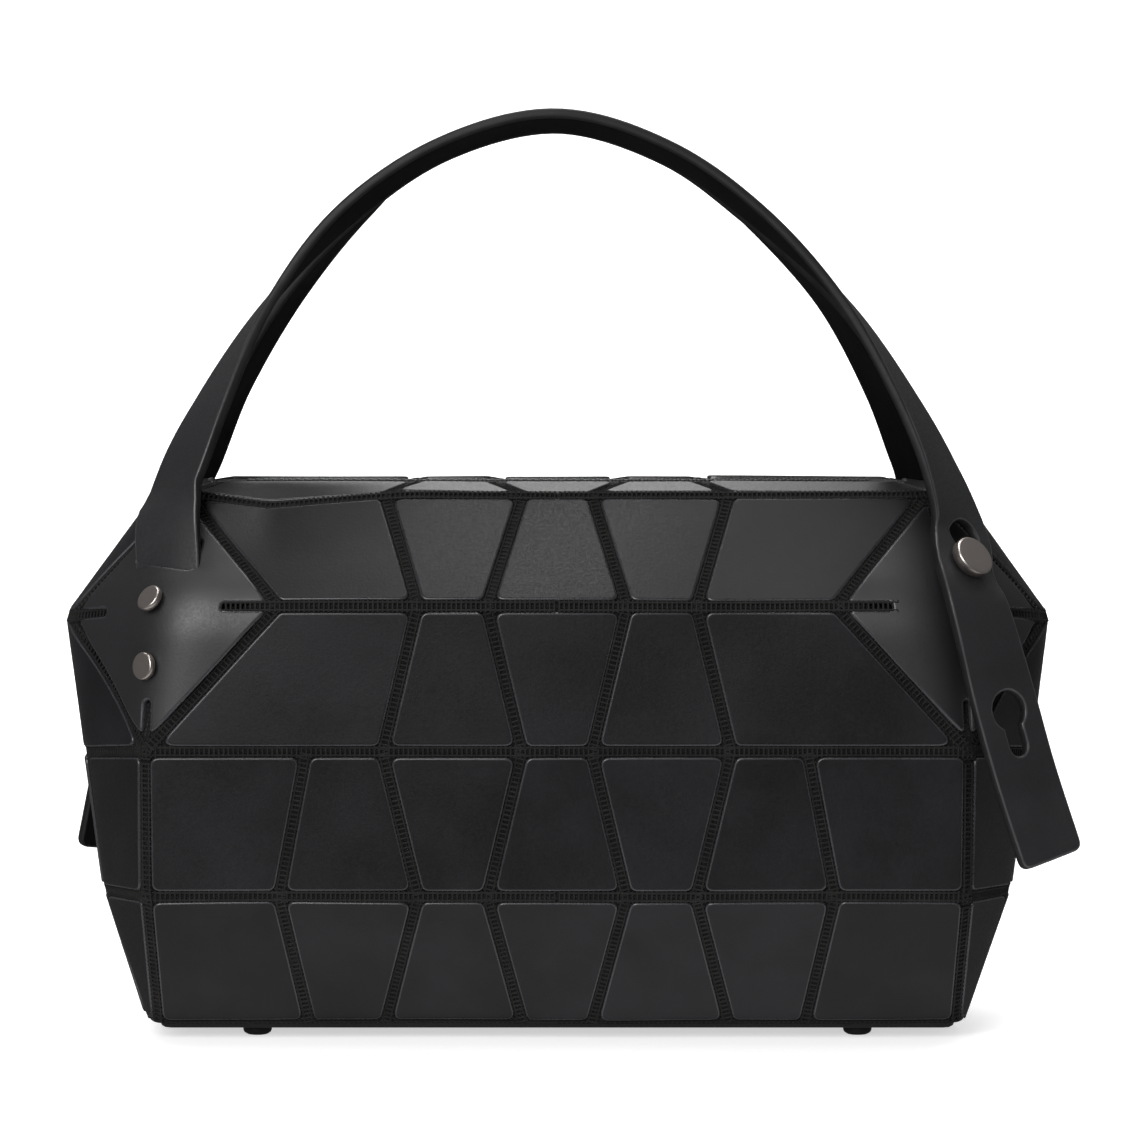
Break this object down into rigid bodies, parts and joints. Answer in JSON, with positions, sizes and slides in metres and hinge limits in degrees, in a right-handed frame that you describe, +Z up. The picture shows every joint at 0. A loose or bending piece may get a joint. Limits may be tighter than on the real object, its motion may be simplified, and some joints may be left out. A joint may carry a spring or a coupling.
{
  "type": "boston bag",
  "caption": "Small boston bag with a folded body of plates on mesh, smooth corner patches, a zip top, and strap handles buttoned on studs.",
  "frame": {"origin": "on the floor under the middle of the bag", "axes": "+X along the bag's length, to the right seen from the front; +Y to the back; +Z up"},
  "size_m": [0.2975, 0.1277, 0.2703],
  "materials": {
    "plate_vinyl": "satin, fine grain",
    "patch_vinyl": "satin, fine grain",
    "handle_leather": "matte",
    "dark_metal": "satin, dark nickel",
    "foot_rubber": "matte",
    "black_fabric": "woven, matte"
  },
  "bodies": {
    "root": {"body_shell": "plate_vinyl", "zip_closure": "black_fabric", "base_panel": "patch_vinyl", "foot_front_left": "foot_rubber", "foot_front_right": "foot_rubber", "handle_front": "handle_leather", "patch_fixed_front": "patch_vinyl", "patch_stud_front": "patch_vinyl", "stud_front": "dark_metal", "rivet_upper_front": "dark_metal", "rivet_lower_front": "dark_metal", "foot_back_left": "foot_rubber", "foot_back_right": "foot_rubber", "handle_back": "handle_leather", "patch_fixed_back": "patch_vinyl", "patch_stud_back": "patch_vinyl", "stud_back": "dark_metal", "rivet_upper_back": "dark_metal", "rivet_lower_back": "dark_metal"}
  },
  "joints": []
}
